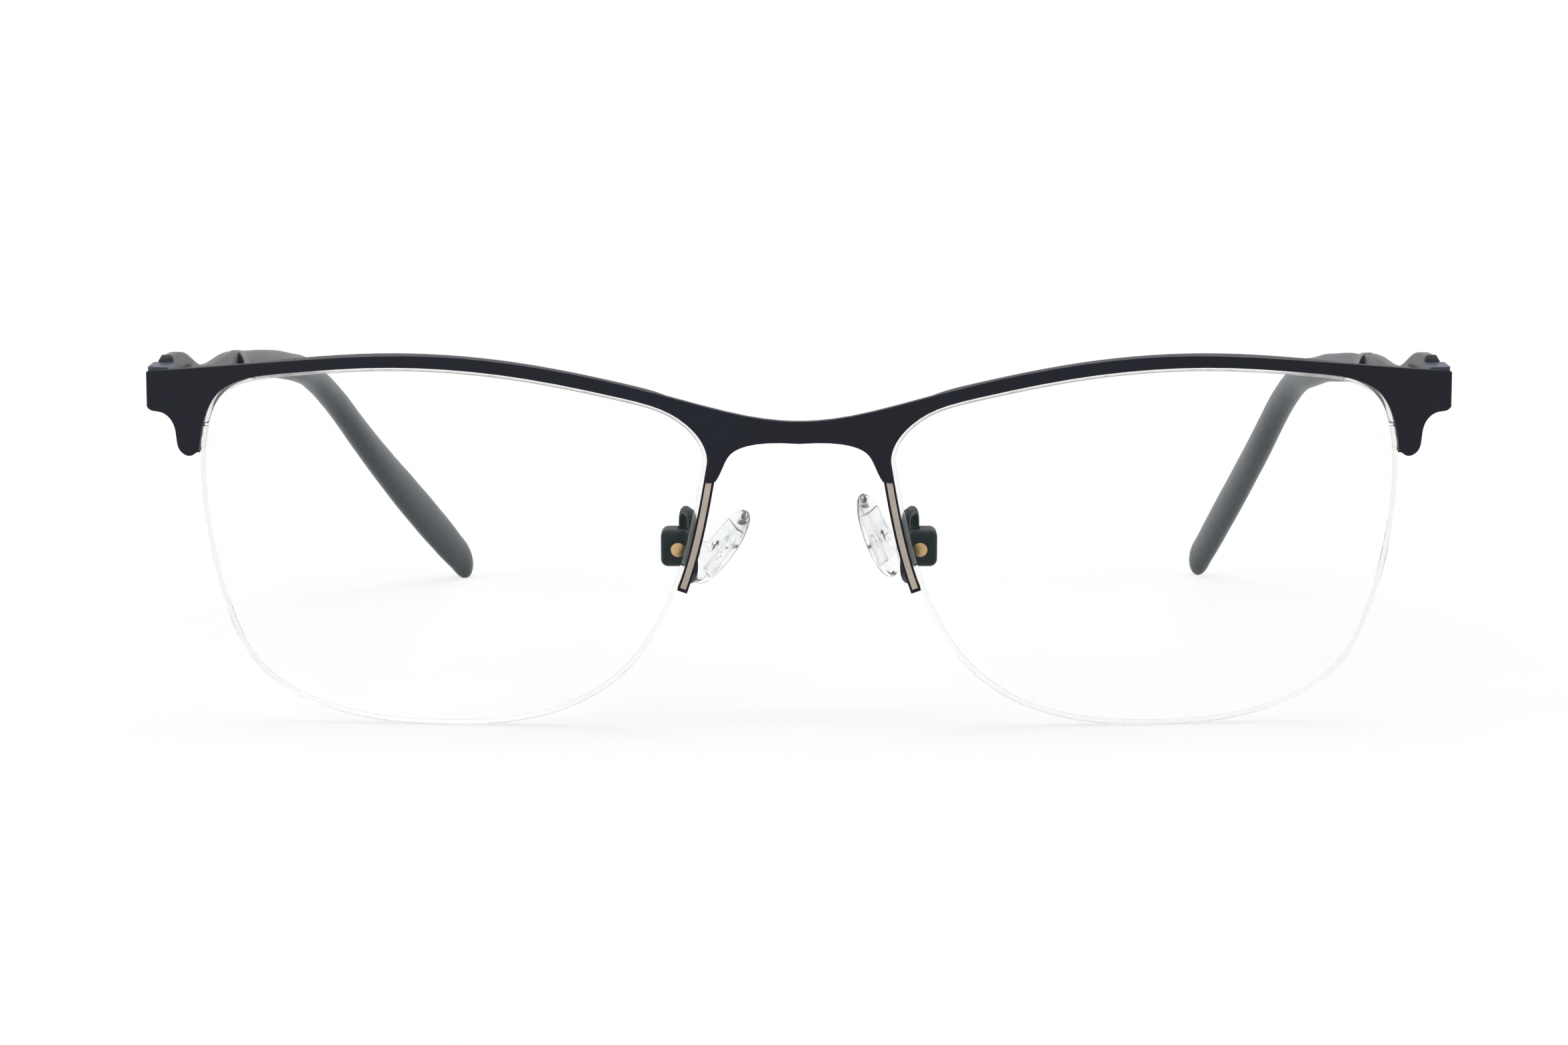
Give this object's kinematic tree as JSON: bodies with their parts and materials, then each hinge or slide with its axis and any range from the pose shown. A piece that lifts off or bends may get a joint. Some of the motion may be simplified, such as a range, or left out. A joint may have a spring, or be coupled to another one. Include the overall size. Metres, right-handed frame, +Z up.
{
  "type": "eyeglasses",
  "caption": "Semi-rimless eyeglasses: brow plate with nasal bars, clear lenses held by nylon cord, rocking nose pads, temples that fold on screw hinges.",
  "frame": {"origin": "middle of the footprint, on the table under the glasses", "axes": "+X to the wearer's left, +Y from the front towards the ears, +Z up"},
  "size_m": [0.1384, 0.1394, 0.0398],
  "materials": {
    "front_lacquer": "satin dark navy lacquer on steel",
    "hinge_lacquer": "slate blue lacquer",
    "temple_lacquer": "warm gunmetal, satin",
    "bare_trim": "bare polished strip",
    "lens": "clear coated lens",
    "clear_nylon": "clear nylon",
    "screw_steel": "bright",
    "screw_brass": "bright",
    "pad_insert": "clear hard plastic",
    "pad_silicone": "clear silicone",
    "collar": "near black",
    "core_steel": "bright wire",
    "tip_plastic": "matte blue grey"
  },
  "bodies": {
    "front": {"front_plate": "front_lacquer", "lens_right": "lens", "rim_rail_right": "front_lacquer", "rim_trim_right": "bare_trim", "rim_liner_right": "clear_nylon", "nylon_cord_right": "clear_nylon", "hinge_block_right": "hinge_lacquer", "hinge_screw_right": "screw_steel", "pad_arm_right": "front_lacquer", "pad_box_right": "front_lacquer", "pad_screw_right": "screw_brass", "lens_left": "lens", "rim_rail_left": "front_lacquer", "rim_trim_left": "bare_trim", "rim_liner_left": "clear_nylon", "nylon_cord_left": "clear_nylon", "hinge_block_left": "hinge_lacquer", "hinge_screw_left": "screw_steel", "pad_arm_left": "front_lacquer", "pad_box_left": "front_lacquer", "pad_screw_left": "screw_brass"},
    "temple_right": {"temple_knuckle_right": "hinge_lacquer", "temple_arm_right": "temple_lacquer", "tip_collar_right": "collar", "temple_core_right": "core_steel", "temple_tip_right": "tip_plastic"},
    "pad_right": {"pad_core_right": "pad_insert", "nose_pad_right": "pad_silicone"},
    "temple_left": {"temple_knuckle_left": "hinge_lacquer", "temple_arm_left": "temple_lacquer", "tip_collar_left": "collar", "temple_core_left": "core_steel", "temple_tip_left": "tip_plastic"},
    "pad_left": {"pad_core_left": "pad_insert", "nose_pad_left": "pad_silicone"}
  },
  "joints": [
    {"name": "temple_right_fold", "type": "hinge", "parent": "front", "child": "temple_right", "pos_m": [-0.065, -0.0588, 0.0362], "axis": [0, -0.0872, 0.9962], "range_deg": [-84, 0]},
    {"name": "temple_left_fold", "type": "hinge", "parent": "front", "child": "temple_left", "pos_m": [0.065, -0.0588, 0.0362], "axis": [0, -0.0872, 0.9962], "range_deg": [0, 74]},
    {"name": "pad_right_rock", "type": "hinge", "parent": "front", "child": "pad_right", "pos_m": [-0.013, -0.05885, 0.01881], "axis": [0, 0.9962, 0.0872], "range_deg": [-20, 4]},
    {"name": "pad_left_rock", "type": "hinge", "parent": "front", "child": "pad_left", "pos_m": [0.013, -0.05885, 0.01881], "axis": [0, 0.9962, 0.0872], "range_deg": [-20, 4]}
  ]
}
